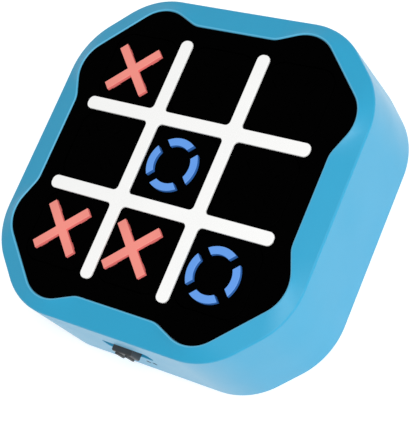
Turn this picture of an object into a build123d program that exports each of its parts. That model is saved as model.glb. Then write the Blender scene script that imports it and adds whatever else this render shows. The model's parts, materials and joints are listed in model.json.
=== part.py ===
"""Hand-held electronic tic tac toe game.

A square body with cut, rounded corners carries a black face panel with a raised white grid.
Each of the nine cells is a key that lights up as a red X or a blue O.
It lies on its back: +X runs along the grid's rows, +Y up the face and +Z out of the face.
The origin is the middle of the back, on the surface that the game lies on. Millimetres.
"""

from build123d import *
import math
import os

# ---- Cells of the face -------------------------------------------------------------------------
pitch = 24.0                  # cell to cell
window_strip = 3.7            # panel left between two windows
key_window_gap = 0.25         # each side, between a key and its window

# ---- Keys ---------------------------------------------------------------------------------------
key_corner_radius = 4.5
key_plate = 2.0
key_rounding = 0.3            # rounding of a key's top edge
key_flange_reach = 0.7        # how far the flange stands out under the panel
key_flange_height = 1.0
key_skirt = 1.0               # thickness of the key's side wall
key_travel = 0.8
key_top_gap = 0.05            # flange to panel at rest
key_stem_radius = 2.1
key_stem_length = 1.5

# ---- Marks: a cross and a broken ring on each key ------------------------------------------------
lit_marks = {                 # the marks that are lit stand proud, and the others are flush with their keys
    "cross": ("top_left", "bottom_left", "bottom_middle"),
    "ring": ("centre_middle", "bottom_right"),
}
mark_height = 0.95            # a lit mark's top above the key
mark_pocket = 0.8             # depth of the pocket that a mark sits in
mark_gap = 0.05               # each side, between a mark and its pocket
mark_rounding = 0.15
mark_margin = 1.25            # the cross is this much shorter than the key at each end
cross_width = 2.45
ring_inset = 1.25             # the cross reaches this far beyond the ring
ring_width = 2.1
ring_cross_gap = 0.22         # each side, between a ring's quarter and the cross
mark_shift = (-1.0, 0.0)      # the marks sit a little left of the middle of their cells
mark_shift_special = {        # cells whose marks sit differently
    "top_left": (-0.95, -0.6),
    "centre_middle": (-0.9, 0.1),
    "bottom_middle": (-2.0, 0.1),
    "bottom_right": (-0.95, -0.4),
}

# ---- Grid ---------------------------------------------------------------------------------------
bar_strip_gap = 0.025         # a bar to each edge of the strip that it stands on
bar_height = 0.6
bar_tip_inset = 1.3           # a bar's tip to the line three cells out
bar_end_radius = 1.6
bar_crossing_radius = 1.25
bar_edge_rounding = 0.2
peg_radius = 0.9
peg_length = 1.2
peg_gap = 0.05

# ---- Face panel and its wavy outline ------------------------------------------------------------
panel_thickness = 2.0
panel_side_margin = 5.2       # outer windows to the middle of a side
panel_diag_margin = 0.1       # x + y from the corner windows' square corner to the lobe's flat
panel_waist_extra = 0.64      # the narrow middle of a side runs this far past the grid's bars
panel_flank_deg = 22.6        # lean of the flank that runs out to the corner lobe
panel_inner_radius = 6.75     # hollow corner between side and flank
panel_lobe_radius = 9.6       # round corner of a lobe
post_radius = 2.5             # screw posts that carry the circuit board
post_key_gap = 1.2            # a post to the keys' flanges
post_inset = 4.0              # a post to the middle line of the outer keys

# ---- Body ---------------------------------------------------------------------------------------
rim_width = 7.25              # panel to front edge at the middle of a side
rim_diag = 7.9                # x + y from a lobe's flat to the flat of the cut corner
rim_drop = 1.5                # the front edge lies this far below the panel
body_corner_radius = 20.7     # rounding of all eight corners at the front edge
body_draft_deg = 1.05         # the side wall leans out towards the back
shell_bottom_z = 0.4          # the back cover stands this far proud of the shell
edge_rounding = 0.6           # rounding of the front edge
back_edge_rounding = 0.3      # rounding of the shell's back edge
wall = 2.4                    # side wall
ledge_width = 1.0             # step inside the shell that carries the panel
ledge_thickness = 2.1
lip_width = 0.7               # flat lip of the shell round the panel
lip_rounding = 0.5            # rounding of the lip's inner edge
fit_gap = 0.15                # clearance round a piece that drops into a pocket

# ---- Back cover, case screws -------------------------------------------------------------------
cover_thickness = 2.0
cover_seat_gap = 0.05         # cover to the shoulder in the shell
cover_rim = 1.6               # shell wall left outside the cover's plate
cover_rounding = 0.3
lip_height = 3.0
lip_thickness = 1.2
boss_inset = 3.95             # case screws to the inside of the cut corner
boss_radius = 3.2
boss_web = 3.0
boss_gap = 0.05               # shell boss to cover post
cover_post_top_z = 9.0
screw_head_radius = 2.3
screw_head_height = 1.5
screw_shank_radius = 1.25
screw_length = 8.0
screw_well_depth = 6.0
screw_bore_gap = 0.05         # shank to the hole that it bites in
screw_hole_gap = 0.2          # shank or head to the hole that it passes
cross_slot = 0.9              # width of the drive slots
sound_hole_radius = 0.7
sound_hole_ring = 3.2

# ---- Cells, contacts and battery box ---------------------------------------------------------------
cell_radius = 5.25            # AAA cell
cell_length = 44.5
cell_nub_radius = 1.9
cell_nub_length = 1.2
cell_gap = 0.7                # between two cells
cell_count = 3
spring_room = 5.7
spring_radius = 3.6
spring_taper = 1.0
spring_wire = 0.7
contact_thickness = 0.4
contact_height = 9.0
contact_half_width = 4.4
contact_tab_half_width = 1.0
box_wall = 1.5
box_gap = 0.4                 # cells to the door below and the ceiling above

# ---- Battery door ---------------------------------------------------------------------------
door_inlay = 0.2              # the door is this much thinner than the cover
door_seat_gap = 0.05
door_ledge = 2.0              # the door overlaps the box by this much
door_screw_room = 8.0         # and by this much at its screw end
door_screw_inset = 4.5        # box to the screw's axis
door_gap = 0.15
door_slab = 1.8               # thickness of the seat round the door
door_slab_margin = 2.5
door_tab_width = 6.0
door_tab_reach = 1.9
door_tab_thickness = 1.1
door_tab_root = 1.0
door_tab_y = 12.0
door_tab_side_gap = 0.3
door_tab_gap = 0.1            # tab to the inside of the cover
door_tab_headroom = 2.5       # free height over the cover that the tabs swing in
door_screw_head_low = 0.2
door_screw_head_radius = 2.3
door_screw_head_height = 1.0
door_screw_shank_radius = 1.2
door_screw_bite = 2.65        # how far the screw reaches past the door's seat
door_boss_radius = 3.0
door_boss_height = 4.4

# ---- Circuit board and what is on it ------------------------------------------------------------
board_clearance = 4.4         # battery box to the board
board_thickness = 1.6
board_margin = 3.0            # a post's axis to the board's top and bottom edge
board_side_inset = 5.2        # board to the side walls on the left and right
board_boss_gap = 0.85         # board's cut corners to the case bosses
board_screw_radius = 1.0
board_screw_length = 6.2
board_screw_head_radius = 1.9
board_screw_head_height = 1.3
tact_size = 6.2
tact_height = 3.4
tact_button_top = 5.0         # board to the top of a switch's button
tact_floor = 0.3
plunger_radius = 1.7
plunger_gap = 0.12
plunger_floor_gap = 0.2
led_offset = 6.5              # a light's distance from the middle of its key
led_length = 3.2
led_width = 2.8
led_height = 1.9
led_rounding = 0.3
baffle_wall = 1.2
baffle_outset = 0.2           # outer frame beyond the keys' flanges
baffle_key_gap = 0.35         # outer frame to a pressed key
baffle_top_gap = 0.05
baffle_board_inset = 1.0      # x + y from the board's cut corner to the frame's
component_gap = 4.5           # battery box to the buzzer
chip_size = (10.0, 6.0, 1.8)
chip_x = -21.0
capacitor_x = 21.0
capacitor_radius = 2.5
capacitor_height = 7.0
buzzer_radius = 6.0
buzzer_height = 6.5
buzzer_hole_radius = 1.2

# ---- Slide switch ---------------------------------------------------------------------------
switch_drop = 3.0             # board to the lever's middle
switch_travel = 2.0           # each way from the middle position
switch_gap = 0.2
recess_end_gap = 2.2          # recess beyond the knob at the end of its travel
recess_height_gap = 0.35
recess_depth = 1.0
recess_corner_radius = 1.2
knob_length = 6.2
knob_height = 4.5
knob_proud = 1.5              # knob face beyond the side wall
knob_rounding = 0.4
rib_proud = 0.6
rib_count = 2
rib_width = 0.8
rib_pitch = 3.1
rib_height = 3.9
rib_rounding = 0.25
knob_stem_width = 2.6
knob_stem_height = 3.0
knob_stem_end = 2.2           # stem beyond the inside of the wall
knob_ear = 0.45               # snap ears behind the wall
knob_ear_length = 1.0
switch_body_size = (13.0, 5.0, 6.0)
switch_board_inset = 0.4      # switch body behind the board's edge
lever_width = 1.5
lever_height = 1.8
lever_root = 2.2              # lever inside the switch body
lever_in_wall = 0.3           # inside of the wall to the lever's tip in its slot
lever_gap = 0.05
index_dot_radius = 0.7
index_dot_depth = 0.25
index_dot_drop = 7.0          # dots below the middle of the switch
index_dots_x = (-3.9, 2.9, 4.9)

# ---- Worked out from the sizes above: across the face ------------------------------------------------
window_size = pitch - window_strip
key_size = window_size - 2 * key_window_gap
flange_size = key_size + 2 * key_flange_reach
flange_edge = pitch + flange_size / 2
window_edge = pitch + window_size / 2
bar_width = window_strip - 2 * bar_strip_gap
cross_length = key_size - 2 * mark_margin
ring_diameter = cross_length - 2 * ring_inset
bar_reach = 1.5 * pitch - bar_tip_inset
panel_side = window_edge + panel_side_margin
panel_diag = 2 * window_edge + panel_diag_margin
panel_waist = pitch / 2 + panel_waist_extra
body_half_front = panel_side + rim_width
body_diag_front = panel_diag + rim_diag
cavity_half = body_half_front - wall
boss_radial = body_diag_front / math.sqrt(2) - wall - boss_inset
boss_xy = boss_radial / math.sqrt(2)
post_x = pitch - post_inset
post_y = flange_edge + post_key_gap + post_radius
board_half_x = cavity_half - board_side_inset
board_half_y = post_y + board_margin
board_diag = (boss_radial - boss_radius - board_boss_gap) * math.sqrt(2)
baffle_half = flange_edge + baffle_outset

# ---- Worked out: battery box and door, across the back -------------------------------------------------
cell_pitch = 2 * cell_radius + cell_gap
box_length = cell_length + spring_room + 2 * contact_thickness
box_width = cell_count * cell_pitch + box_gap
box_shift_x = (door_ledge - door_screw_room) / 2
box_left_x = box_shift_x - box_length / 2
box_right_x = box_shift_x + box_length / 2
door_half_length = (box_length + door_ledge + door_screw_room) / 2
door_half_width = box_width / 2 + door_ledge
door_screw_x = box_right_x + door_screw_inset
component_y = box_width / 2 + box_wall + component_gap + buzzer_radius

# ---- Worked out: heights, from the back up -----------------------------------------------------------
door_thickness = cover_thickness - door_inlay
door_seat_z = door_thickness + door_seat_gap
cell_z = door_thickness + box_gap + cell_radius
box_ceiling_z = cell_z + cell_radius + box_gap
board_bottom_z = box_ceiling_z + box_wall + board_clearance
board_top_z = board_bottom_z + board_thickness
plunger_top_z = board_top_z + tact_button_top
plunger_length = tact_button_top - tact_floor - key_travel - plunger_floor_gap
key_plate_bottom_z = plunger_top_z + key_stem_length
panel_top_z = key_plate_bottom_z + key_plate
panel_bottom_z = panel_top_z - panel_thickness
key_flange_top_z = panel_bottom_z - key_top_gap
key_bottom_z = key_flange_top_z - key_flange_height
mark_bottom_z = panel_top_z - mark_pocket
lit_top_z = panel_top_z + mark_height
baffle_low_top_z = key_bottom_z - key_travel - baffle_key_gap
roof_z = panel_bottom_z - ledge_thickness
front_edge_z = panel_top_z - rim_drop
draft = math.tan(math.radians(body_draft_deg))
draft_out = (front_edge_z - shell_bottom_z) * draft
body_half_back = body_half_front + draft_out
body_diag_back = body_diag_front + draft_out * math.sqrt(2)
switch_z = board_bottom_z - switch_drop
index_dot_z = switch_z - index_dot_drop
wall_y = -(body_half_front + (front_edge_z - switch_z) * draft)
dot_wall_y = -(body_half_front + (front_edge_z - index_dot_z) * draft)
lever_tip_y = -(cavity_half + lever_in_wall)
recess_length = knob_length + 2 * (switch_travel + recess_end_gap)
recess_height = knob_height + 2 * recess_height_gap
switch_body_front_y = -(board_half_y - switch_board_inset)

columns = {"left": -pitch, "middle": 0.0, "right": pitch}
rows = {"top": pitch, "centre": 0.0, "bottom": -pitch}
cells = {f"{row}_{column}": (x, y) for row, y in rows.items() for column, x in columns.items()}


# ---- Small helpers -------------------------------------------------------------------------------
def block(x_range, y_range, z_range):
    """Box between two corners."""
    size = [high - low for low, high in (x_range, y_range, z_range)]
    middle = [(low + high) / 2 for low, high in (x_range, y_range, z_range)]
    return Pos(*middle) * Box(*size)


def around(middle, half):
    """Range from half below a value to half above it."""
    return (middle - half, middle + half)


def rod(x, y, z_low, z_high, radius):
    """Upright cylinder."""
    return Pos(x, y, (z_low + z_high) / 2) * Cylinder(radius, z_high - z_low)


def slab(outline, z_low, z_high):
    """Upright prism on a flat outline."""
    return extrude(Pos(0, 0, z_low) * outline, z_high - z_low, dir=(0, 0, 1))


def cut_square(half, diagonal, radius=0.0):
    """Square with its corners cut at 45 degrees, and all eight corners rounded."""
    cut = diagonal - half
    quarter = [(half, cut), (cut, half)]
    points = []
    for turn in range(4):
        for x, y in quarter:
            points.append(Vector(x, y, 0).rotate(Axis.Z, 90 * turn))
    if radius == 0:
        return make_face(Polyline(*points, close=True))
    return make_face(FilletPolyline(*points, radius=radius, close=True))


def body_outline(inset=0.0, at_back=False):
    """The body's outline, moved in by an inset."""
    half = body_half_back if at_back else body_half_front
    diagonal = body_diag_back if at_back else body_diag_front
    grown = draft_out if at_back else 0.0
    radius = body_corner_radius + grown - inset
    return cut_square(half - inset, diagonal - inset * math.sqrt(2), radius)


def wavy_corners(grow):
    """One eighth of the panel's outline: where its flank starts, where it ends, and the radii."""
    lean = math.radians(panel_flank_deg)
    start = (panel_side + grow, panel_waist - grow * math.tan(lean / 2))
    diagonal = panel_diag + grow * math.sqrt(2)
    run = (diagonal - start[0] - start[1]) / (math.sin(lean) + math.cos(lean))
    end = (start[0] + run * math.sin(lean), start[1] + run * math.cos(lean))
    return start, end, panel_inner_radius - grow, panel_lobe_radius + grow


def wavy_outline(grow=0.0):
    """The panel's outline, moved out by grow: narrow in the middle of each side, a lobe at each corner."""
    start, end, hollow, lobe = wavy_corners(grow)
    points = []
    radii = []
    for turn in range(4):
        for (x, y), radius in ((start, hollow), (end, lobe), (end[::-1], lobe), (start[::-1], hollow)):
            points.append(Vector(x, y, 0).rotate(Axis.Z, 90 * turn))
            radii.append(radius)
    return make_face(FilletPolyline(*points, radius=radii, close=True))


def square(size, radius):
    """Square with rounded corners."""
    return RectangleRounded(size, size, radius)


def at_corners(x, y):
    """The four places that mirror one place in both middle lines."""
    return [(sign_x * x, sign_y * y) for sign_x in (1, -1) for sign_y in (1, -1)]


# ---- Upper shell -----------------------------------------------------------------------------
def rounded_corner(before, corner, after, radius):
    """Start, middle and end of the arc that rounds a corner."""
    corner = Vector(*corner)
    towards_before = (Vector(*before) - corner).normalized()
    towards_after = (Vector(*after) - corner).normalized()
    half_angle = math.radians(towards_before.get_angle(towards_after)) / 2
    middle_way = (towards_before + towards_after).normalized()
    reach = radius / math.tan(half_angle)
    centre = corner + middle_way * (radius / math.sin(half_angle))
    return corner + towards_before * reach, centre - middle_way * radius, corner + towards_after * reach


def rim_wire(eighth, z):
    """Closed wire from one eighth of an outline, which is mirrored and turned round the middle.

    The eighth is a list of pieces, each two points (a line) or three (an arc).
    """
    mirrored = [[Vector(p.Y, p.X, 0) for p in reversed(piece)] for piece in reversed(eighth)]
    edges = []
    for turn in range(4):
        for piece in eighth + mirrored:
            points = [p.rotate(Axis.Z, 90 * turn) + Vector(0, 0, z) for p in piece]
            edges.append(Line(*points) if len(points) == 2 else ThreePointArc(*points))
    return Wire(edges)


def lip_eighth(grow):
    """One eighth of the lip round the panel, in five pieces."""
    start, end, hollow, lobe = wavy_corners(grow)
    side = Vector(start[0], 0)
    flat = Vector((end[0] + end[1]) / 2, (end[0] + end[1]) / 2)
    hollow_arc = rounded_corner((side.X, side.Y), start, end, hollow)
    lobe_arc = rounded_corner(start, end, (flat.X, flat.Y), lobe)
    return [
        [side, hollow_arc[0]],
        list(hollow_arc),
        [hollow_arc[2], lobe_arc[0]],
        list(lobe_arc),
        [lobe_arc[2], flat],
    ]


def edge_eighth(inner):
    """One eighth of the front edge, split where the lip's pieces meet."""
    half = body_half_front
    cut = body_diag_front - half
    flat = Vector(body_diag_front / 2, body_diag_front / 2)
    arc = rounded_corner((half, 0), (half, cut), (flat.X, flat.Y), body_corner_radius)
    first = Vector(half, inner[0][-1].Y)
    second = Vector(half, inner[1][-1].Y)
    return [[Vector(half, 0), first], [first, second], [second, arc[0]], list(arc), [arc[2], flat]]


def front_rim():
    """The rim's sloping front, from the outer edge up to the lip round the panel."""
    inner = lip_eighth(lip_width)
    outer = edge_eighth(inner)
    low = Face(rim_wire(outer, front_edge_z))
    high = Face(rim_wire(inner, panel_top_z))
    return loft([low, high], ruled=True)


def switch_recess():
    """What the slide switch takes out of the side wall: a shallow recess, a slot and index dots."""
    outline = Plane.XZ * RectangleRounded(recess_length, recess_height, recess_corner_radius)
    recess = extrude(Pos(0, wall_y - 1, switch_z) * outline, recess_depth + 1, dir=(0, 1, 0))
    slot_x = around(0, knob_stem_width / 2 + switch_travel + switch_gap)
    slot_z = around(switch_z, knob_stem_height / 2 + switch_gap)
    cutter = recess + block(slot_x, (wall_y, wall_y + 2 * wall), slot_z)
    dot = Rot(90, 0, 0) * Cylinder(index_dot_radius, 2 * index_dot_depth)
    for x in index_dots_x:
        cutter += Pos(x, dot_wall_y, index_dot_z) * dot
    return cutter


def upper_shell():
    """Blue shell: side wall and front rim in one moulding."""
    back_outline = Pos(0, 0, shell_bottom_z) * body_outline(at_back=True)
    front_outline = Pos(0, 0, front_edge_z) * body_outline()
    shell = loft([back_outline, front_outline]) + front_rim()
    front_edges = shell.edges().filter_by_position(Axis.Z, front_edge_z - 0.01, front_edge_z + 0.01)
    shell = fillet(front_edges, edge_rounding)
    back_edges = shell.edges().filter_by_position(Axis.Z, shell_bottom_z - 0.01, shell_bottom_z + 0.01)
    shell = fillet(back_edges, back_edge_rounding)
    cavity = slab(body_outline(wall), shell_bottom_z - 1, roof_z)
    shell -= cavity
    shell -= slab(body_outline(cover_rim, at_back=True), shell_bottom_z - 1, cover_thickness + cover_seat_gap)
    shell -= slab(wavy_outline(fit_gap), panel_bottom_z, panel_top_z + 1)
    lip = shell.faces().filter_by_position(Axis.Z, panel_top_z - 0.01, panel_top_z + 0.01)[0]
    shell = fillet(lip.inner_wires()[0].edges(), lip_rounding)
    shell -= slab(wavy_outline(-ledge_width), roof_z - 1, panel_top_z)
    bore_top_z = screw_well_depth + screw_length + 1
    for x, y in at_corners(boss_xy, boss_xy):
        shell += case_boss(x, y) & cavity
        shell -= rod(x, y, cover_post_top_z - 1, bore_top_z, screw_shank_radius + screw_bore_gap)
    return shell - switch_recess()


def case_boss(x, y):
    """Screw boss that hangs from the rim, with a web to the corner wall."""
    heights = (cover_post_top_z + boss_gap, roof_z)
    web_length = boss_inset + wall
    web = block((boss_radial, boss_radial + web_length), around(0, boss_web / 2), heights)
    return rod(x, y, *heights, boss_radius) + Rot(0, 0, math.degrees(math.atan2(y, x))) * web


# ---- Face panel and grid ------------------------------------------------------------------------
def bezel_panel():
    """Black face panel with nine windows, on four screw posts for the circuit board."""
    panel = slab(wavy_outline(), panel_bottom_z, panel_top_z)
    window_radius = key_corner_radius + key_window_gap
    for x, y in cells.values():
        panel -= slab(Pos(x, y) * square(window_size, window_radius), panel_bottom_z - 1, panel_top_z + 1)
    for x, y in at_corners(post_x, post_y):
        panel += rod(x, y, board_top_z, panel_bottom_z, post_radius)
        panel -= rod(x, y, board_top_z - 1, panel_bottom_z, board_screw_radius + screw_bore_gap)
    for x, y in at_corners(pitch / 2, pitch / 2):
        panel -= rod(x, y, panel_top_z - peg_length - peg_gap, panel_top_z + 1, peg_radius + peg_gap)
    return panel


def grid_bars():
    """White grid: two bars each way, with rounded tips and filleted crossings."""
    bar = RectangleRounded(2 * bar_reach, bar_width, bar_end_radius)
    outline = Sketch()
    for side in (-pitch / 2, pitch / 2):
        outline += Pos(0, side) * bar
        outline += Pos(side, 0) * Rot(0, 0, 90) * bar
    crossing_reach = pitch / 2 + bar_width
    inner = [v for v in outline.vertices() if max(abs(v.X), abs(v.Y)) < crossing_reach]
    outline = fillet(inner, bar_crossing_radius)
    bars = slab(outline, panel_top_z, panel_top_z + bar_height)
    bars = fillet(bars.faces().sort_by(Axis.Z)[-1].edges(), bar_edge_rounding)
    for x, y in at_corners(pitch / 2, pitch / 2):
        bars += rod(x, y, panel_top_z - peg_length, panel_top_z, peg_radius)
    return bars


# ---- Keys and marks -----------------------------------------------------------------------------
def cross_outline(grow=0.0):
    """Two arms that cross on the diagonals."""
    arm = Rectangle(cross_length + 2 * grow, cross_width + 2 * grow)
    return Rot(0, 0, 45) * arm + Rot(0, 0, -45) * arm


def ring_outline(grow=0.0):
    """The whole ring, before it is parted."""
    outer = ring_diameter / 2
    return Circle(outer + grow) - Circle(outer - ring_width - grow)


def ring_quarters():
    """The ring, parted where the cross runs through it."""
    gap = cross_width + 2 * ring_cross_gap
    arm = Rectangle(2 * ring_diameter, gap)
    return ring_outline() - Rot(0, 0, 45) * arm - Rot(0, 0, -45) * arm


def mark_place(cell):
    """Middle of a cell's marks."""
    shift = mark_shift_special.get(cell, mark_shift)
    return cells[cell][0] + shift[0], cells[cell][1] + shift[1]


def key_cap(cell):
    """Smoked key: a plate with pockets for its marks, a skirt, a flange and a stem for its switch."""
    place = Pos(*cells[cell])
    outline = square(key_size, key_corner_radius)
    flange = square(flange_size, key_corner_radius + key_flange_reach)
    hollow = square(key_size - 2 * key_skirt, key_corner_radius - key_skirt)
    cap = slab(place * outline, key_bottom_z, panel_top_z)
    cap = fillet(cap.faces().sort_by(Axis.Z)[-1].edges(), key_rounding)
    cap += slab(place * flange, key_bottom_z, key_flange_top_z)
    cap -= slab(place * hollow, key_bottom_z - 1, key_plate_bottom_z)
    cap += rod(*cells[cell], plunger_top_z, key_plate_bottom_z, key_stem_radius)
    pocket = Pos(*mark_place(cell)) * (cross_outline(mark_gap) + ring_outline(mark_gap))
    return cap - slab(pocket, mark_bottom_z, panel_top_z + 1)


def mark(kind, cell):
    """A cross or a ring in its pocket: flush with the key, or proud and rounded if it is lit."""
    outline = Pos(*mark_place(cell)) * (cross_outline() if kind == "cross" else ring_quarters())
    if cell not in lit_marks[kind]:
        return slab(outline, mark_bottom_z, panel_top_z)
    raised = slab(outline, mark_bottom_z, lit_top_z)
    top_edges = raised.edges().filter_by_position(Axis.Z, lit_top_z - 0.01, lit_top_z + 0.01)
    return fillet(top_edges, mark_rounding)


def key_plunger(cell):
    """The part of a key's switch that is pushed."""
    return rod(*cells[cell], plunger_top_z - plunger_length, plunger_top_z, plunger_radius)


# ---- Circuit board and what is on it -------------------------------------------------------------
def circuit_board():
    """Board with its corners cut clear of the case bosses, and a hole for each screw."""
    cut = board_diag * math.sqrt(2)
    outline = Rectangle(2 * board_half_x, 2 * board_half_y) & Rot(0, 0, 45) * Rectangle(cut, cut)
    board = slab(outline, board_bottom_z, board_top_z)
    for x, y in at_corners(post_x, post_y):
        board -= rod(x, y, board_bottom_z - 1, board_top_z + 1, board_screw_radius + screw_hole_gap)
    return board


def tact_bodies():
    """The nine switch bodies under the keys."""
    bodies = []
    top = board_top_z + tact_height
    for x, y in cells.values():
        body = slab(Pos(x, y) * square(tact_size, 0.5), board_top_z, top)
        bodies.append(body - rod(x, y, board_top_z + tact_floor, top + 1, plunger_radius + plunger_gap))
    return bodies


def lights(side):
    """One light beside each switch: red ones on the left, blue ones on the right."""
    pieces = []
    for x, y in cells.values():
        outline = Pos(x + side * led_offset, y) * RectangleRounded(led_length, led_width, 0.4)
        light = slab(outline, board_top_z, board_top_z + led_height)
        pieces.append(fillet(light.faces().sort_by(Axis.Z)[-1].edges(), led_rounding))
    return pieces


def light_baffle():
    """Walls that keep each key's light in its own cell, in a low outer frame."""
    diagonal = board_diag - baffle_board_inset
    frame = cut_square(baffle_half, diagonal)
    frame -= cut_square(baffle_half - baffle_wall, diagonal - baffle_wall * math.sqrt(2))
    baffle = slab(frame, board_top_z, baffle_low_top_z)
    heights = (board_top_z, panel_bottom_z - baffle_top_gap)
    along = around(0, baffle_half - baffle_wall / 2)
    for side in (-pitch / 2, pitch / 2):
        across = around(side, baffle_wall / 2)
        baffle += block(across, along, heights)
        baffle += block(along, across, heights)
    return baffle


def control_chip():
    """The game's one chip, on the board's underside."""
    length, width, height = chip_size
    heights = (board_bottom_z - height, board_bottom_z)
    body = block(around(chip_x, length / 2), around(component_y, width / 2), heights)
    return chamfer(body.faces().sort_by(Axis.Z)[0].edges(), 0.3)


def capacitor():
    """Upright capacitor on the board's underside."""
    can = rod(capacitor_x, component_y, board_bottom_z - capacitor_height, board_bottom_z, capacitor_radius)
    return fillet(can.faces().sort_by(Axis.Z)[0].edges(), 0.4)


def buzzer():
    """Round buzzer under the board, its sound hole facing the back cover."""
    low = board_bottom_z - buzzer_height
    can = rod(0, component_y, low, board_bottom_z, buzzer_radius)
    can = fillet(can.faces().sort_by(Axis.Z)[0].edges(), 0.5)
    return can - rod(0, component_y, low - 1, low + 2, buzzer_hole_radius)


def screw(x, y, seat_z, tip_z, head_radius, head_height, shank_radius):
    """Screw driven upwards to its seat, with a cross-slot in its pan head."""
    head_low = seat_z - head_height
    head = rod(x, y, head_low, seat_z, head_radius)
    head = fillet(head.faces().sort_by(Axis.Z)[0].edges(), head_height / 3)
    body = head + rod(x, y, seat_z, tip_z, shank_radius)
    depth = (head_low - 1, head_low + head_height / 2)
    long_way = 0.6 * head_radius
    body -= block(around(x, long_way), around(y, cross_slot / 2), depth)
    return body - block(around(x, cross_slot / 2), around(y, long_way), depth)


def board_screws():
    """Four screws up through the board into the panel's posts."""
    seat = board_bottom_z
    head = (board_screw_head_radius, board_screw_head_height, board_screw_radius)
    return [screw(x, y, seat, seat + board_screw_length, *head) for x, y in at_corners(post_x, post_y)]


# ---- Slide switch --------------------------------------------------------------------------------
def power_knob():
    """Knob in the side wall: a ribbed face, and a stem with snap ears that takes the switch's lever."""
    face_y = wall_y - knob_proud
    floor_y = wall_y + recess_depth - switch_gap
    inner_y = -cavity_half
    knob = block(around(0, knob_length / 2), (face_y, floor_y), around(switch_z, knob_height / 2))
    knob = fillet(knob.faces().sort_by(Axis.Y)[0].edges(), knob_rounding)
    rib_y = (face_y - rib_proud, face_y + knob_rounding)
    for step in range(rib_count):
        rib_x = (step - (rib_count - 1) / 2) * rib_pitch
        rib = block(around(rib_x, rib_width / 2), rib_y, around(switch_z, rib_height / 2))
        knob += fillet(rib.faces().sort_by(Axis.Y)[0].edges(), rib_rounding)
    stem_end = inner_y + knob_stem_end
    stem_x = around(0, knob_stem_width / 2)
    knob += block(stem_x, (floor_y, stem_end), around(switch_z, knob_stem_height / 2))
    ear_y = (inner_y + switch_gap, inner_y + switch_gap + knob_ear_length)
    knob += block(stem_x, ear_y, around(switch_z, knob_stem_height / 2 + knob_ear))
    socket_y = (lever_tip_y - switch_gap, stem_end + 1)
    socket_x = around(0, lever_width / 2 + lever_gap)
    return knob - block(socket_x, socket_y, around(switch_z, lever_height / 2 + lever_gap))


def slide_switch_body():
    """Switch on the board's underside, open at the front where its lever slides."""
    length, depth, height = switch_body_size
    body_y = (switch_body_front_y, switch_body_front_y + depth)
    body = block(around(0, length / 2), body_y, (board_bottom_z - height, board_bottom_z))
    slot_x = around(0, lever_width / 2 + switch_travel + switch_gap)
    slot_y = (switch_body_front_y - 1, switch_body_front_y + lever_root + switch_gap)
    return body - block(slot_x, slot_y, around(switch_z, lever_height / 2 + switch_gap))


def slide_switch_lever():
    """Lever that the knob pushes along."""
    y_range = (lever_tip_y, switch_body_front_y + lever_root)
    return block(around(0, lever_width / 2), y_range, around(switch_z, lever_height / 2))


# ---- Back cover, battery box and door -------------------------------------------------------------
def back_cover():
    """Back cover with its battery box, door recess, screw posts and sound holes."""
    cover = slab(body_outline(cover_rim + fit_gap, at_back=True), 0, cover_thickness)
    cover = fillet(cover.faces().sort_by(Axis.Z)[0].edges(), cover_rounding)
    inside = body_outline(wall + fit_gap)
    lip = inside - body_outline(wall + fit_gap + lip_thickness)
    cover += slab(lip, cover_thickness, cover_thickness + lip_height)
    inside_column = slab(inside, 0, cover_post_top_z)
    post_radius_all = screw_head_radius + screw_hole_gap + lip_thickness
    for x, y in at_corners(boss_xy, boss_xy):
        cover += rod(x, y, cover_thickness / 2, cover_post_top_z, post_radius_all) & inside_column
    cover += battery_box_block()
    cover -= battery_box_space()
    for x, y in at_corners(boss_xy, boss_xy):
        cover -= rod(x, y, -1, screw_well_depth, screw_head_radius + screw_hole_gap)
        cover -= rod(x, y, 0, cover_post_top_z + 1, screw_shank_radius + screw_hole_gap)
    for x, y in sound_holes():
        cover -= rod(x, y, -1, cover_thickness + 1, sound_hole_radius)
    return cover


def sound_holes():
    """One hole in the middle of a ring of six, in line with the buzzer."""
    ring = [Vector(sound_hole_ring, 0, 0).rotate(Axis.Z, 60 * k) for k in range(6)]
    return [(0, component_y)] + [(p.X, p.Y + component_y) for p in ring]


def battery_box_block():
    """Outside of the battery box, the seat that joins it to the cover, and the door screw's boss."""
    low = cover_thickness / 2
    seat_x = around(0, door_half_length + door_slab_margin)
    seat_y = around(0, door_half_width + door_slab_margin)
    solid = block(seat_x, seat_y, (low, door_thickness + door_slab))
    box_x = (box_left_x - box_wall, box_right_x + box_wall)
    solid += block(box_x, around(0, box_width / 2 + box_wall), (low, box_ceiling_z + box_wall))
    return solid + rod(door_screw_x, 0, low, door_thickness + door_slab + door_boss_height, door_boss_radius)


def battery_box_space():
    """What the cells, the door, its tabs and screw, and the contact tabs take out of the cover."""
    recess_x = around(0, door_half_length + door_gap)
    space = block(recess_x, around(0, door_half_width + door_gap), (-1, door_seat_z))
    space += block((box_left_x, box_right_x), around(0, box_width / 2), (0, box_ceiling_z))
    tab_x = (recess_x[0] - door_tab_reach - door_tab_side_gap, box_left_x + door_gap)
    tab_top = cover_thickness + door_tab_headroom
    for side in (-door_tab_y, door_tab_y):
        tab_y = around(side, door_tab_width / 2 + door_tab_side_gap)
        space += block(tab_x, tab_y, (cover_thickness, tab_top))
        space += block((recess_x[0], tab_x[1]), tab_y, (0, tab_top))
    screw_top = door_seat_z + door_screw_bite + 1
    space += rod(door_screw_x, 0, 0, screw_top, door_screw_shank_radius + screw_hole_gap)
    ceiling = (box_ceiling_z - 1, box_ceiling_z + box_wall + 1)
    for x, way, y in terminals():
        hole_x = sorted((x - way * contact_thickness, x + 2 * way * contact_thickness))
        space += block(hole_x, around(y, contact_tab_half_width + contact_thickness), ceiling)
    return space


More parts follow.
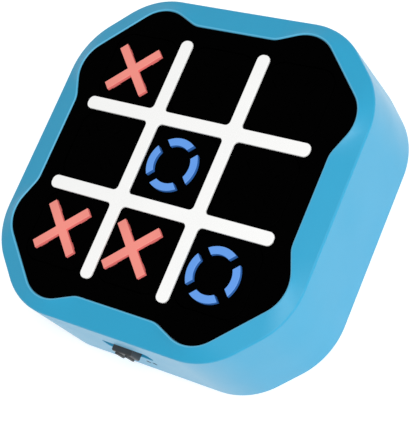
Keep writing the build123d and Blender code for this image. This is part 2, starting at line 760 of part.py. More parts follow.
def battery_door():
    """Door over the cells, with two hook tabs at one end and a screw hole at the other."""
    door = block(around(0, door_half_length), around(0, door_half_width), (0, door_thickness))
    door = fillet(door.faces().sort_by(Axis.Z)[0].edges(), cover_rounding)
    tab_z = (cover_thickness + door_tab_gap, cover_thickness + door_tab_gap + door_tab_thickness)
    root_x = (-door_half_length, -door_half_length + door_tab_root)
    for side in (-door_tab_y, door_tab_y):
        tab_y = around(side, door_tab_width / 2)
        door += block(root_x, tab_y, (door_thickness / 2, tab_z[1]))
        door += block((-door_half_length - door_tab_reach, root_x[1]), tab_y, tab_z)
    door -= rod(door_screw_x, 0, -1, door_screw_seat_z(), door_screw_head_radius + screw_hole_gap)
    return door - rod(door_screw_x, 0, -1, door_thickness + 1, door_screw_shank_radius + screw_hole_gap)


def door_screw_seat_z():
    """Where the door screw's head bears on the door."""
    return door_screw_head_low + door_screw_head_height


def door_screw():
    """Short screw that stays in the door."""
    tip_z = door_seat_z + door_screw_bite
    head = (door_screw_head_radius, door_screw_head_height, door_screw_shank_radius)
    return screw(door_screw_x, 0, door_screw_seat_z(), tip_z, *head)


def case_screws():
    """Four screws up through the cover's posts into the shell's bosses."""
    tip_z = screw_well_depth + screw_length
    head = (screw_head_radius, screw_head_height, screw_shank_radius)
    return [screw(x, y, screw_well_depth, tip_z, *head) for x, y in at_corners(boss_xy, boss_xy)]


# ---- Cells and their contacts ---------------------------------------------------------------------
def cell_rows():
    """Each cell's y, and the way from its negative end to its positive one."""
    first = -(cell_count - 1) / 2
    return [((first + k) * cell_pitch, 1 if k % 2 == 0 else -1) for k in range(cell_count)]


def positive_end(way):
    """Where a cell's nub meets its plate."""
    return box_right_x - contact_thickness if way > 0 else box_left_x + contact_thickness


def battery_cells():
    """Three AAA cells side by side, the middle one turned round."""
    pieces = []
    for y, way in cell_rows():
        tip = positive_end(way)
        shoulder = tip - way * cell_nub_length
        tail = tip - way * cell_length
        body = Rot(0, 90, 0) * Cylinder(cell_radius, cell_length - cell_nub_length)
        body = fillet(body.edges().filter_by(GeomType.CIRCLE), 0.4)
        nub = Rot(0, 90, 0) * Cylinder(cell_nub_radius, cell_nub_length)
        pieces.append(Pos((shoulder + tail) / 2, y, cell_z) * body + Pos((tip + shoulder) / 2, y, cell_z) * nub)
    return pieces


def contact_springs():
    """One conical spring at each cell's negative end, wide against its plate."""
    pieces = []
    small = spring_radius - spring_taper
    hollow = Cone(spring_radius - spring_wire, small - spring_wire, spring_room)
    cone = Cone(spring_radius, small, spring_room) - hollow
    for y, way in cell_rows():
        middle = positive_end(-way) + way * spring_room / 2
        pieces.append(Pos(middle, y, cell_z) * Rot(0, 90 * way, 0) * cone)
    return pieces


def terminals():
    """Each end of the box, the way into it, and the row whose plate also reaches up to the board."""
    return [(box_left_x, 1, -cell_pitch), (box_right_x, -1, cell_pitch)]


def contact_plates():
    """A single plate and a bridging one at each end, the single ones with tabs to the board."""
    pieces = []
    heights = around(cell_z, contact_height / 2)
    for x, way, single in terminals():
        plate_x = sorted((x, x + way * contact_thickness))
        tab = block(plate_x, around(single, contact_tab_half_width), (cell_z, board_bottom_z))
        pieces.append(block(plate_x, around(single, contact_half_width), heights) + tab)
        bridged = [y for y, _ in cell_rows() if y != single]
        bridge_y = (min(bridged) - contact_half_width, max(bridged) + contact_half_width)
        pieces.append(block(plate_x, bridge_y, heights))
    return pieces


# ---- Write one file per node -----------------------------------------------------------------------
def all_nodes():
    """Every node by name: one shape, or a list of like ones."""
    nodes = {
        "upper_shell": upper_shell(),
        "bezel_panel": bezel_panel(),
        "grid": grid_bars(),
        "light_baffle": light_baffle(),
        "circuit_board": circuit_board(),
        "tact_bodies": tact_bodies(),
        "red_lights": lights(-1),
        "blue_lights": lights(1),
        "control_chip": control_chip(),
        "capacitor": capacitor(),
        "buzzer": buzzer(),
        "board_screws": board_screws(),
        "power_knob": power_knob(),
        "slide_switch_body": slide_switch_body(),
        "slide_switch_lever": slide_switch_lever(),
        "back_cover": back_cover(),
        "battery_door": battery_door(),
        "door_screw": door_screw(),
        "case_screws": case_screws(),
        "battery_cells": battery_cells(),
        "contact_springs": contact_springs(),
        "contact_plates": contact_plates(),
    }
    for cell in cells:
        nodes[f"key_{cell}"] = key_cap(cell)
        nodes[f"cross_{cell}"] = mark("cross", cell)
        nodes[f"ring_{cell}"] = mark("ring", cell)
        nodes[f"plunger_{cell}"] = key_plunger(cell)
    return nodes


os.makedirs("parts", exist_ok=True)
for name, shape in all_nodes().items():
    pieces = shape if isinstance(shape, list) else [shape]
    solids = [solid for piece in pieces for solid in piece.solids()]
    export_step(Compound(children=solids) if len(solids) > 1 else solids[0], f"parts/{name}.step")
    print(name, len(solids), "solids,", round(sum(solid.volume for solid in solids), 1), "mm3")
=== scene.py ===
# %% [markdown]
# # A hand-held electronic tic tac toe game
#
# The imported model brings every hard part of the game: the blue case, the black face with its white
# grid, nine keys that each carry a cross and a ring, a slide switch, and the works inside. This lesson
# gives each of them its real finish, winds the three battery springs out of wire, and sets up a small
# white studio around the game. All lengths are metres, so `mm` turns millimetres into them.

# %% Load the model
import json
import math

import bpy
from mathutils import Matrix, Vector


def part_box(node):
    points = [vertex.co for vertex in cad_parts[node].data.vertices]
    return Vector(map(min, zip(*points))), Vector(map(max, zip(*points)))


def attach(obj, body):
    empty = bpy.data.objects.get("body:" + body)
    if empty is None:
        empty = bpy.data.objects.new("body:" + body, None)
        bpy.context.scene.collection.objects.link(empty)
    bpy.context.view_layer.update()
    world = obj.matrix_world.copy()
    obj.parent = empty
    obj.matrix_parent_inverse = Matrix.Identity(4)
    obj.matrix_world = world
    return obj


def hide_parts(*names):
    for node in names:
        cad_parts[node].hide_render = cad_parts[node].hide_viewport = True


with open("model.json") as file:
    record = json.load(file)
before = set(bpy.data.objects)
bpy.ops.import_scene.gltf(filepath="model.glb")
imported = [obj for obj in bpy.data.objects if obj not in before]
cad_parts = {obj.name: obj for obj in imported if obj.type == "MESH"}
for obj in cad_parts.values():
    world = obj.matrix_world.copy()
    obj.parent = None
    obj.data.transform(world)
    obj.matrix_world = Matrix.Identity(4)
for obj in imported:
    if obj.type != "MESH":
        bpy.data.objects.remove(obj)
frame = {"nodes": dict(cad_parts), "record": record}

nodes = frame["nodes"]
slots = {part["node"]: part["material_slot"] for part in frame["record"]["subparts"]}
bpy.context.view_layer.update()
mm = 0.001
bpy.ops.object.select_all(action="DESELECT")


# %% [markdown]
# ## The camera
#
# The game is looked at from above its right-hand side, by someone who has turned their head: the camera
# is rolled by almost fifty degrees. It could be placed by its three angles, but a place, a point to aim
# at and a roll are easier to read and to change, so the turn is worked out from those. The lens is long,
# so the far side of the game is hardly smaller than the near side.

# %% Camera
camera_place = Vector((176.65, -78.45, 285.37)) * mm
camera_aim = Vector((7.02, -8.34, 15.0)) * mm
camera_roll = math.radians(48.11)
camera_lens = 101.25
camera_film_width = 36.0

camera_data = bpy.data.cameras.new("studio_camera")
camera_data.lens = camera_lens
camera_data.sensor_width = camera_film_width
camera_data.clip_start = 10 * mm
camera = bpy.data.objects.new("studio_camera", camera_data)
bpy.context.scene.collection.objects.link(camera)
camera.location = camera_place
look = (camera_aim - camera_place).to_track_quat("-Z", "Y").to_matrix()
camera.rotation_euler = (look @ Matrix.Rotation(-camera_roll, 3, "Z")).to_euler()
bpy.context.scene.camera = camera
print("camera to aim in mm", round((camera_aim - camera_place).length / mm, 1))

# %% [markdown]
# ## The shader helpers
#
# A finish is a little sum: so much of this colour where the edge is rubbed, so much roughness where the
# grain is deep. Node trees hide such sums in a web of links. So `Wire` wraps one socket and lets the
# usual signs add Math nodes, and `Finish.node` adds any node from its type, settings and inputs.


# %% Wire: sums on sockets
class Wire:
    """An output socket that can be added, subtracted, multiplied and compared."""

    def __init__(self, finish, socket):
        self.finish = finish
        self.socket = socket

    def maths(self, operation, first, second):
        return self.finish.node("ShaderNodeMath", {"operation": operation}, {0: first, 1: second})

    def __add__(self, other):
        return self.maths("ADD", self, other)

    def __sub__(self, other):
        return self.maths("SUBTRACT", self, other)

    def __rsub__(self, other):
        return self.maths("SUBTRACT", other, self)

    def __mul__(self, other):
        return self.maths("MULTIPLY", self, other)

    __radd__ = __add__
    __rmul__ = __mul__

    def __abs__(self):
        return self.maths("ABSOLUTE", self, 0.0)

    def most(self, other):
        """The larger of two numbers."""
        return self.maths("MAXIMUM", self, other)

    def above(self, edge):
        """1 above the edge and 0 below it."""
        return self.maths("GREATER_THAN", self, edge)

    def ramp(self, low, high):
        """0 below low, 1 above high, and an even run between them."""
        ends = {"From Min": low, "From Max": high}
        return self.finish.node("ShaderNodeMapRange", {"clamp": True}, {"Value": self, **ends})


# %% Finish: a material and its patterns
class Finish:
    """A material with one Principled shader, built from nodes on Object coordinates."""

    def __init__(self, name, **values):
        self.material = bpy.data.materials.new(name)
        self.material.use_nodes = True
        self.tree = self.material.node_tree
        self.shader = self.tree.nodes["Principled BSDF"]
        self.place = self.node("ShaderNodeTexCoord", output="Object")
        self.set(values)

    def node(self, kind, settings=None, inputs=None, output=0):
        """Adds a node, sets it up, feeds it, and gives back one of its outputs."""
        made = self.tree.nodes.new(kind)
        for key, value in (settings or {}).items():
            setattr(made, key, value)
        for key, value in (inputs or {}).items():
            self.feed(made.inputs[key], value)
        return Wire(self, made.outputs[output])

    def feed(self, socket, value):
        """Links a wire to a socket, or sets the socket to a plain value."""
        if isinstance(value, Wire):
            self.tree.links.new(value.socket, socket)
        else:
            socket.default_value = value

    def set(self, values):
        """Feeds the shader's own sockets, by name."""
        for key, value in values.items():
            self.feed(self.shader.inputs[key], value)

    def axis(self, letter, vector=None):
        """One coordinate of a place, in metres."""
        return self.node("ShaderNodeSeparateXYZ", inputs={"Vector": vector or self.place}, output=letter)

    def noise(self, size, detail=2.0, stretch=(1.0, 1.0, 1.0), seed=0.0):
        """Cloudy noise from 0 to 1, whose lumps are about `size` across, longer where stretch is small."""
        moved = {"Vector": self.place, "Scale": stretch, "Location": (seed, seed, seed)}
        where = self.node("ShaderNodeMapping", inputs=moved)
        return self.node("ShaderNodeTexNoise", inputs={"Vector": where, "Scale": 1 / size, "Detail": detail})

    def mix(self, amount, first, second):
        """A colour between two colours."""
        ends = {"Factor": amount, 6: first, 7: second}
        return self.node("ShaderNodeMix", {"data_type": "RGBA"}, ends, output=2)

    def edges(self, width):
        """1 on the rounded part of an edge and 0 on the flats."""
        soft = self.node("ShaderNodeBevel", {"samples": 4}, {"Radius": width})
        hard = self.node("ShaderNodeNewGeometry", output="Normal")
        product = {"operation": "DOT_PRODUCT"}
        level = self.node("ShaderNodeVectorMath", product, {0: soft, 1: hard}, output="Value")
        return (1 - level).ramp(0.01, 0.16)

    def bump(self, height, depth):
        """A surface raised by `height`, from 0 to 1, times a depth in metres."""
        inputs = {"Height": height, "Strength": 1.0, "Distance": depth}
        return self.node("ShaderNodeBump", inputs=inputs)

    def facing(self, letter):
        """How far the surface faces along one axis, from -1 to 1."""
        return self.axis(letter, self.node("ShaderNodeNewGeometry", output="Normal"))


# %% [markdown]
# ## Moulded plastic
#
# Most of the game is injection-moulded. A mould is spark-eroded, which leaves an even, very fine grain on
# every part that comes out of it. Handling then polishes the edges and leaves faint smudges that show
# only in the shine. The edges are also painted paler, partly as wear and partly as a painted highlight.
# One function builds that, and each plastic differs in colour, grain and gloss: the grain's size and
# depth, the cloudiness of the colour (`mottle`), and how pale an edge is painted (`haze`).


# %% Moulded plastic
def shade(colour, factor):
    """The same hue, lighter or darker."""
    return tuple(min(1.0, part * factor) for part in colour) + (1.0,)


def hazed(colour, share):
    """The colour with a share of white: paler worn edges that also serve as a painted highlight."""
    return tuple(part + (0.8 - part) * share for part in colour) + (1.0,)


def moulded(name, colour, roughness, grain, depth, specular, mottle, haze, smudge=0.08):
    """Grained plastic. Returns the finish and its colour, so that more can go on top."""
    finish = Finish(name, **{"Specular IOR Level": specular})
    clouds = finish.noise(9 * mm, detail=3.0)
    # Edges are painted paler: partly wear, partly a painted highlight.
    wear_and_edge_highlight = finish.edges(0.35 * mm) * finish.noise(2.5 * mm, seed=0.3).ramp(0.40, 0.70)
    even = finish.mix(clouds, shade(colour, 1 - mottle), shade(colour, 1 + mottle))
    paint = finish.mix(wear_and_edge_highlight, even, hazed(colour, haze))
    handled = finish.noise(14 * mm, detail=4.0, seed=0.7).ramp(0.45, 0.75)
    pits = finish.noise(grain, detail=1.0)
    rough = roughness + smudge * handled - 0.12 * wear_and_edge_highlight + 0.05 * pits
    finish.set({"Base Color": paint, "Roughness": rough, "Normal": finish.bump(pits, depth)})
    return finish, paint


case_blue = (0.010, 0.312, 0.530)
# The paler edge colour is partly wear and partly a painted highlight.
print("sky blue", case_blue, "and rubbed", [round(part, 2) for part in hazed(case_blue, 0.25)[:3]])

# %% [markdown]
# ## The blue case
#
# The shell, the back cover and the battery door come from the same sky-blue plastic. It is satin, so its
# sides pick up a pale haze from the white room at a low angle, which a little sheen gives.
#
# Three small index dots below the switch are filled with dark blue. The model has them as shallow round
# pits, so the print is masked by their places in the wall. The lip round the black panel gets a painted
# highlight in a paler blue. A mask along its wavy line would need that line again, but the lip is the only
# blue surface near the top that is turned inwards and up, so the direction that the surface faces finds it.

# %% Blue case
knob_low, knob_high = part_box("power_knob")
switch_height = (knob_low.z + knob_high.z) / 2
dot_blue = (0.0, 0.02, 0.05, 1.0)
dot_radius = 0.75 * mm
dot_height = switch_height - 7.0 * mm
dot_places = [-3.9 * mm, 2.9 * mm, 4.9 * mm]
front_wall = 45 * mm

case_plastic, case_colour = moulded(
    "satin_sky_blue", case_blue, 0.40, 0.22 * mm, 0.006 * mm, specular=0.5, mottle=0.02, haze=0.25
)


def dot(place):
    """1 in one index dot of the front wall."""
    across = case_plastic.axis("X") - place
    up = case_plastic.axis("Z") - dot_height
    return 1 - (across * across + up * up).above(dot_radius**2)


left_dot, *right_dots = [dot(place) for place in dot_places]
printed = left_dot
for right_dot in right_dots:
    printed = printed.most(right_dot)
printed = printed * (0 - case_plastic.axis("Y")).above(front_wall)
print("switch middle in mm above the table", round(switch_height / mm, 2), "dots", len(dot_places))

# %% Lip with painted highlight
lip_highlight_blue = (0.13, 0.50, 0.74, 1.0)
lip_lowest = 25 * mm

along_x = case_plastic.axis("X") * case_plastic.facing("X")
along_y = case_plastic.axis("Y") * case_plastic.facing("Y")
turned_in = (0 - along_x - along_y).ramp(0.0, 5 * mm)
turned_up = case_plastic.facing("Z").ramp(0.15, 0.35)
# The lip's paler blue is a painted highlight, found by the way the surface faces.
lip_highlight = turned_in * turned_up * case_plastic.axis("Z").above(lip_lowest)
with_lip_highlight = case_plastic.mix(lip_highlight * 0.6, case_colour, lip_highlight_blue)
case_plastic.set({"Base Color": case_plastic.mix(printed, with_lip_highlight, dot_blue)})
case_plastic.set({"Sheen Weight": 0.17, "Sheen Roughness": 0.45})

# %% [markdown]
# ## The black face and the keys
#
# Unlit, the face is one black field: panel, smoked keys and dark marks can hardly be told apart. The
# panel is dull and the keys are a shade smoother, because fingers polish them. All three reflect very
# little, so their specular level is low. Dust lies on the panel as fine specks that are barely lighter.

# %% Face finishes
face_black = (0.0002, 0.0002, 0.0002)
dust_grey = (0.003, 0.003, 0.003, 1.0)
dull = {"specular": 0.006, "mottle": 0.2, "haze": 0.0003}

panel_plastic, panel_colour = moulded("deep_black", face_black, 0.60, 0.18 * mm, 0.008 * mm, **dull)
specks = panel_plastic.noise(0.35 * mm, detail=0.0, seed=2.0).ramp(0.80, 0.86)
panel_plastic.set({"Base Color": panel_plastic.mix(specks * 0.25, panel_colour, dust_grey)})

key_plastic, _ = moulded("smoked_key", face_black, 0.48, 0.25 * mm, 0.004 * mm, smudge=0.15, **dull)
dark_mark, _ = moulded("smoked_mark", face_black, 0.44, 0.25 * mm, 0.003 * mm, **dull)
print("face finishes", [made.material.name for made in (panel_plastic, key_plastic, dark_mark)])

# %% [markdown]
# ## The lit marks
#
# A lit mark is a light guide: coral red for a cross, clear blue for a ring. Light enters from a lamp
# under the key and spreads through the plastic, so a mark glows a little all over and slightly more over
# its lamp. The glow is part emission and part plain colour. The sides, found by the way they face, are
# painted a deeper colour as shade. Each lamp is at the middle of its key: a Vector Math node
# that wraps the place into one cell lets a single finish serve all nine cells.

# %% Lit marks
cell_pitch = 24.0 * mm
glow_reach = 10 * mm
glow_falls_by = 0.35
glow_strength = 0.30


def lit_mark(name, colour, painted_side_colour):
    """Light guide that glows from within, with a deeper colour painted down its sides as shade."""
    finish, paint = moulded(
        name, colour, 0.42, 0.30 * mm, 0.004 * mm, specular=0.35, mottle=0.06, haze=0.12
    )
    half = (cell_pitch / 2,) * 3
    corner = finish.node("ShaderNodeVectorMath", {"operation": "ADD"}, {0: finish.place, 1: half})
    wrapped = {0: corner, 1: (cell_pitch,) * 3, 2: (0.0, 0.0, 0.0)}
    cell = finish.node("ShaderNodeVectorMath", {"operation": "WRAP"}, wrapped)
    away_x = finish.axis("X", cell) - cell_pitch / 2
    away_y = finish.axis("Y", cell) - cell_pitch / 2
    away = away_x * away_x + away_y * away_y
    bright = 1 - away.ramp(0.0, glow_reach**2) * glow_falls_by
    # Surfaces that face sideways get the side colour: painted shade.
    on_top = finish.facing("Z").ramp(0.1, 0.9)
    lit_paint = finish.mix(on_top, shade(painted_side_colour, 1.0), paint)
    finish.set({"Base Color": lit_paint, "Emission Strength": glow_strength})
    finish.set({"Emission Color": finish.mix(bright, (0.0, 0.0, 0.0, 1.0), lit_paint)})
    return finish


red_mark = lit_mark("lit_coral_red", (0.66, 0.205, 0.17), painted_side_colour=(0.80, 0.175, 0.16))
blue_mark = lit_mark("lit_clear_blue", (0.09, 0.25, 0.62), painted_side_colour=(0.03, 0.13, 0.42))

# %% [markdown]
# ## The white grid and the knob
#
# The grid is matt white with a grain that can just be seen. The knob is dark grey and smoother, and the
# edges of its ribs are painted paler, partly as wear from fingers and partly as a painted highlight.
# Inside are a grey baffle, which keeps each lamp's light in its own cell, and the plain black plastic of
# the electrical parts.

# %% White, grey and black mouldings
white_plastic, _ = moulded(
    "matt_white", (0.875, 0.875, 0.867), 0.60, 0.30 * mm, 0.020 * mm, specular=0.35, mottle=0.02, haze=0.0
)
knob_plastic, _ = moulded(
    "knob_grey", (0.034, 0.034, 0.036), 0.30, 0.20 * mm, 0.008 * mm, specular=0.6, mottle=0.08, haze=0.10
)
baffle_plastic, _ = moulded(
    "baffle_grey", (0.33, 0.33, 0.34), 0.60, 0.35 * mm, 0.020 * mm, specular=0.4, mottle=0.05, haze=0.10
)
black_plastic, _ = moulded(
    "works_black", (0.02, 0.02, 0.021), 0.45, 0.25 * mm, 0.010 * mm, specular=0.5, mottle=0.10, haze=0.03
)
print("plain plastics", [m.name for m in bpy.data.materials if m.name.endswith(("white", "grey", "_black"))])

# %% [markdown]
# ## The circuit board
#
# Green solder mask lies over copper tracks. The tracks run straight, so a brick pattern with long bricks
# gives thin raised lines, broken off by a noise, and the mask is lighter where copper lies beneath it.

# %% Circuit board
board = Finish("solder_mask", **{"Specular IOR Level": 0.6})
track_where = board.node("ShaderNodeMapping", inputs={"Vector": board.place, "Scale": (1.0, 1.0, 0.0)})
track_sizes = {"Scale": 1.0, "Mortar Size": 0.25 * mm, "Brick Width": 17 * mm, "Row Height": 1.7 * mm}
tracks = board.node("ShaderNodeTexBrick", inputs={"Vector": track_where, **track_sizes}, output="Fac")
broken = tracks * board.noise(6 * mm).ramp(0.42, 0.48)
mask_tint = board.mix(board.noise(4 * mm), (0.012, 0.10, 0.035, 1.0), (0.018, 0.13, 0.045, 1.0))
board.set({"Base Color": board.mix(broken, mask_tint, (0.05, 0.26, 0.09, 1.0))})
board.set({"Roughness": 0.28 + 0.15 * board.noise(1.2 * mm), "Normal": board.bump(broken, 0.035 * mm)})

# %% [markdown]
# ## Lamps, metal and cells
#
# The lamps' lenses are glossy and coloured through. The screws are zinc-plated, with fine lines drawn
# along them. The battery contacts are nickel-plated spring steel. The cells wear a plain shrink sleeve,
# dark with a copper band at the positive end, and have bare steel ends. The middle cell lies the other
# way round, so the band changes ends with the row.


# %% Lamp lenses
def lens(name, colour):
    """Glossy tinted lens over a small chip."""
    finish = Finish(name, **{"Specular IOR Level": 0.6, "Coat Weight": 0.4})
    cloud = finish.noise(0.8 * mm, detail=2.0)
    finish.set({"Base Color": finish.mix(cloud, shade(colour, 0.8), shade(colour, 1.25))})
    finish.set({"Roughness": 0.12 + 0.12 * finish.noise(0.3 * mm), "Normal": finish.bump(cloud, 0.01 * mm)})
    return finish


red_lens = lens("lamp_red", (0.55, 0.03, 0.02))
blue_lens = lens("lamp_blue", (0.04, 0.10, 0.60))


# %% Metals
def plated(name, colour, roughness, line_size, stretch):
    """Plated metal with fine working lines and a few duller stains."""
    finish = Finish(name, **{"Metallic": 1.0})
    lines = finish.noise(line_size, detail=3.0, stretch=stretch)
    stains = finish.noise(1.8 * mm, detail=4.0, seed=1.3).ramp(0.50, 0.75)
    # Edges are painted lighter: partly wear, partly a painted highlight.
    wear_and_edge_highlight = finish.edges(0.15 * mm)
    paint = finish.mix(stains * 0.6, shade(colour, 1.0), shade(colour, 0.72))
    finish.set({"Base Color": finish.mix(wear_and_edge_highlight * 0.5, paint, shade(colour, 1.2))})
    finish.set({"Roughness": roughness + 0.12 * lines + 0.15 * stains})
    finish.set({"Normal": finish.bump(lines, 0.008 * mm)})
    return finish


screw_steel = plated("zinc_plate", (0.56, 0.57, 0.59), 0.24, 0.12 * mm, (1.0, 1.0, 0.1))
contact_metal = plated("nickel_plate", (0.70, 0.68, 0.63), 0.18, 0.25 * mm, (1.0, 0.15, 1.0))
print("metals", screw_steel.material.name, contact_metal.material.name)

# %% Cells
cells_low, cells_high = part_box("battery_cells")
cells_height = (cells_low.z + cells_high.z) / 2
row_pitch = 11.2 * mm
sleeve_edge = 4.75 * mm
band_start = 12.0 * mm
cell = Finish("cell_sleeve", **{"Specular IOR Level": 0.5})
cell_y = cell.axis("Y")
outer_row = abs(cell_y).above(row_pitch / 2)
row_y = abs(cell_y) - outer_row * row_pitch
row_z = cell.axis("Z") - cells_height
bare = 1 - (row_y * row_y + row_z * row_z).above(sleeve_edge**2)
towards_plus = cell.axis("X") * (2 * outer_row - 1)
copper_band = towards_plus.above(band_start)
wrinkle = cell.noise(1.5 * mm, detail=3.0, stretch=(0.3, 1.0, 1.0))
sleeve = cell.mix(copper_band, (0.016, 0.017, 0.02, 1.0), (0.42, 0.16, 0.05, 1.0))
sleeve = cell.mix(wrinkle * 0.3, sleeve, (0.05, 0.045, 0.04, 1.0))
cell.set({"Base Color": cell.mix(bare, sleeve, (0.62, 0.60, 0.56, 1.0))})
cell.set({"Metallic": bare.most(copper_band * 0.6)})
cell.set({"Roughness": 0.26 + 0.14 * wrinkle, "Normal": cell.bump(wrinkle, 0.02 * mm)})
print("cell row height in mm", round(cells_height / mm, 2))

# %% [markdown]
# The capacitor has a sleeve of its own, with the pale stripe that marks its negative side and a bare
# aluminium top.

# %% Capacitor
can_low, can_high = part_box("capacitor")
can_middle = (can_low + can_high) / 2
can_radius = (can_high.x - can_low.x) / 2
can = Finish("capacitor_sleeve", **{"Specular IOR Level": 0.5})
stripe = (can.axis("X") - can_middle.x).above(0.75 * can_radius)
top_face = 1 - can.axis("Z").above(can_low.z + 0.15 * mm)
can_wrinkle = can.noise(1.0 * mm, detail=3.0)
can_paint = can.mix(stripe, (0.015, 0.018, 0.04, 1.0), (0.50, 0.50, 0.52, 1.0))
can.set({"Base Color": can.mix(top_face, can_paint, (0.70, 0.70, 0.70, 1.0)), "Metallic": top_face})
can.set({"Roughness": 0.3 + 0.15 * can_wrinkle, "Normal": can.bump(can_wrinkle, 0.015 * mm)})
print("capacitor radius in mm", round(can_radius / mm, 2))

# %% [markdown]
# ## Dressing the model
#
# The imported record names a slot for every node, so each finish goes to its slot in one loop. The
# capacitor shares the cells' slot but looks different, so its finish is looked up by its name first.

# %% Give every node its finish
finish_of_slot = {
    "blue_plastic": case_plastic,
    "black_panel": panel_plastic,
    "smoked_key": key_plastic,
    "unlit_mark": dark_mark,
    "red_mark": red_mark,
    "blue_mark": blue_mark,
    "white_plastic": white_plastic,
    "dark_grey_plastic": knob_plastic,
    "grey_plastic": baffle_plastic,
    "black_plastic": black_plastic,
    "board": board,
    "red_lens": red_lens,
    "blue_lens": blue_lens,
    "steel": screw_steel,
    "contact_metal": contact_metal,
    "cell_sleeve": cell,
}
finish_of_node = {"capacitor": can}
for name, node in nodes.items():
    finish = finish_of_node.get(name, finish_of_slot[slots[name]])
    node.data.materials.clear()
    node.data.materials.append(finish.material)
print("finishes", len(finish_of_slot) + len(finish_of_node), "on", len(nodes), "nodes")

# %% [markdown]
# ## The battery springs
#
# A cell's flat end sits on a cone of springy wire. The model carries it as a plain hollow cone, which
# only keeps the room. A wire could be a curve with a bevel, but the Screw modifier is nearer to how a
# spring is wound: it sweeps a small circle round an axis while it moves along it. The two cut ends of
# the wire are then capped.

# %% Wind one spring
spring_length = 5.7 * mm
spring_wire = 0.7 * mm
spring_radius = 3.6 * mm
coil_radius = spring_radius - spring_wire / 2
coil_turns = 5
steps_per_turn = 28
wire_sides = 10


def apply_all(piece):
    """Applies the piece's modifiers in order."""
    bpy.context.view_layer.objects.active = piece
    for modifier in list(piece.modifiers):
        bpy.ops.object.modifier_apply(modifier=modifier.name)


def wound_spring():
    """Straight spring along X, one end at the origin."""
    bpy.ops.object.select_all(action="DESELECT")
    bpy.ops.mesh.primitive_circle_add(vertices=wire_sides, radius=spring_wire / 2, location=(0, 0, 0))
    piece = bpy.context.object
    bpy.ops.object.mode_set(mode="EDIT")
    bpy.ops.transform.translate(value=(spring_wire / 2, coil_radius, 0))
    bpy.ops.object.mode_set(mode="OBJECT")
    winding = piece.modifiers.new("winding", "SCREW")
    winding.axis = "X"
    winding.screw_offset = (spring_length - spring_wire) / coil_turns
    winding.iterations = coil_turns
    winding.steps = winding.render_steps = steps_per_turn
    apply_all(piece)
    bpy.ops.object.mode_set(mode="EDIT")
    bpy.ops.mesh.select_all(action="SELECT")
    bpy.ops.mesh.remove_doubles(threshold=0.001 * mm)
    bpy.ops.mesh.select_all(action="DESELECT")
    bpy.ops.mesh.select_non_manifold()
    bpy.ops.mesh.edge_face_add()
    bpy.ops.mesh.select_all(action="SELECT")
    bpy.ops.mesh.normals_make_consistent(inside=False)
    bpy.ops.object.mode_set(mode="OBJECT")
    return piece


spring = wound_spring()
print("spring in mm", [round(painted_side_colour / mm, 2) for painted_side_colour in spring.dimensions], end=" ")
print("faces", len(spring.data.polygons))

# %% [markdown]
# Each cell gets its own copy. Simple Deform draws one end in, to make the cone, and the copy is turned to
# face its cell and moved into its row. The middle cell is the other way round, so its spring starts at
# the right-hand plate.

# %% Three springs
plates_low, plates_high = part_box("contact_plates")
plate_thickness = 0.4 * mm
narrow_share = 0.68


def placed_spring(name, x, y, way):
    """Copy of the wound spring whose wide end is at x and which runs to +X (way 1) or -X (way -1)."""
    piece = spring.copy()
    piece.data = spring.data.copy()
    piece.name = piece.data.name = name
    bpy.context.scene.collection.objects.link(piece)
    taper = piece.modifiers.new("taper", "SIMPLE_DEFORM")
    taper.deform_method = "TAPER"
    taper.deform_axis = "X"
    taper.factor = narrow_share - 1
    bpy.ops.object.select_all(action="DESELECT")
    piece.select_set(True)
    apply_all(piece)
    if way < 0:
        piece.rotation_euler.z = math.pi
    piece.location = (x, y, cells_height)
    bpy.ops.object.transform_apply(location=True, rotation=True, scale=True)
    bpy.ops.object.shade_smooth()
    piece.data.materials.append(contact_metal.material)
    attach(piece, "case")
    return piece


left_plate = plates_low.x + plate_thickness
right_plate = plates_high.x - plate_thickness
springs = [
    placed_spring("spring_upper", left_plate, row_pitch, 1),
    placed_spring("spring_middle", right_plate, 0.0, -1),
    placed_spring("spring_lower", left_plate, -row_pitch, 1),
]
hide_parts("contact_springs")
bpy.data.objects.remove(spring)
for piece in springs:
    xs = [v.co.x / mm for v in piece.data.vertices]
    print(piece.name, "runs from", round(min(xs), 2), "to", round(max(xs), 2))

# %% [markdown]
# ## The studio
#
# The game lies on a pale table that is lit from within, like a light box: it washes out the shadow and
# throws light up the sides. The table is shown only from above, so that the back of the game can be
# looked at from below. One large soft lamp stands behind the camera, another low on the right, and a
# plain white room fills the rest.

# %% Table
table_drop = 0.3 * mm
table_side = 30.0
table_glow = 0.35

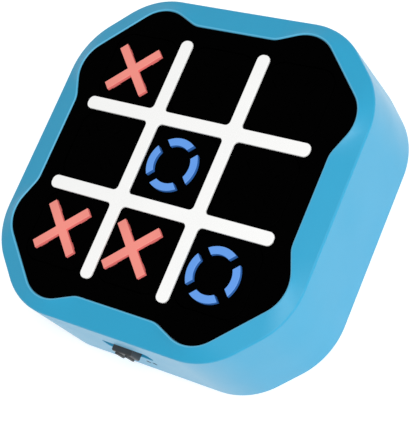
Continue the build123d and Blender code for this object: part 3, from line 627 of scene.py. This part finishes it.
bpy.ops.mesh.primitive_grid_add(
    x_subdivisions=2, y_subdivisions=2, size=table_side, location=(0, 0, -table_drop)
)
table = bpy.context.object
table.name = "light_table"
table_finish = bpy.data.materials.new("light_table")
table_finish.use_nodes = True
tree = table_finish.node_tree
paper = tree.nodes["Principled BSDF"]
paper.inputs["Base Color"].default_value = (0.86, 0.86, 0.86, 1.0)
paper.inputs["Roughness"].default_value = 0.9
paper.inputs["Specular IOR Level"].default_value = 0.1
paper.inputs["Emission Color"].default_value = (1.0, 1.0, 1.0, 1.0)
paper.inputs["Emission Strength"].default_value = table_glow
clear = tree.nodes.new("ShaderNodeBsdfTransparent")
seen = tree.nodes.new("ShaderNodeNewGeometry")
both = tree.nodes.new("ShaderNodeMixShader")
tree.links.new(seen.outputs["Backfacing"], both.inputs["Fac"])
tree.links.new(paper.outputs["BSDF"], both.inputs[1])
tree.links.new(clear.outputs["BSDF"], both.inputs[2])
tree.links.new(both.outputs["Shader"], tree.nodes["Material Output"].inputs["Surface"])
table.data.materials.append(table_finish)
print("table", table_side, "m across,", round(table_drop / mm, 1), "mm under the game")


# %% Lamps and room
def soft_lamp(name, place, aim, size, power):
    """Square soft lamp that faces a point."""
    data = bpy.data.lights.new(name, "AREA")
    data.size = size
    data.energy = power
    lamp = bpy.data.objects.new(name, data)
    bpy.context.scene.collection.objects.link(lamp)
    lamp.location = place
    lamp.rotation_euler = (Vector(aim) - Vector(place)).to_track_quat("-Z", "Y").to_euler()


soft_lamp("lamp_above", (0.40, -0.12, 0.72), aim=(0, 0, 0.02), size=0.5, power=4.8)
soft_lamp("lamp_right", (0.65, -0.12, 0.12), aim=(0, 0, 0.015), size=0.4, power=0.75)

room_light = 0.48
room = bpy.data.worlds.new("white_room")
room.use_nodes = True
background = room.node_tree.nodes["Background"]
background.inputs["Color"].default_value = (1.0, 1.0, 1.0, 1.0)
background.inputs["Strength"].default_value = room_light
bpy.context.scene.world = room
bpy.context.scene.view_settings.view_transform = "Standard"
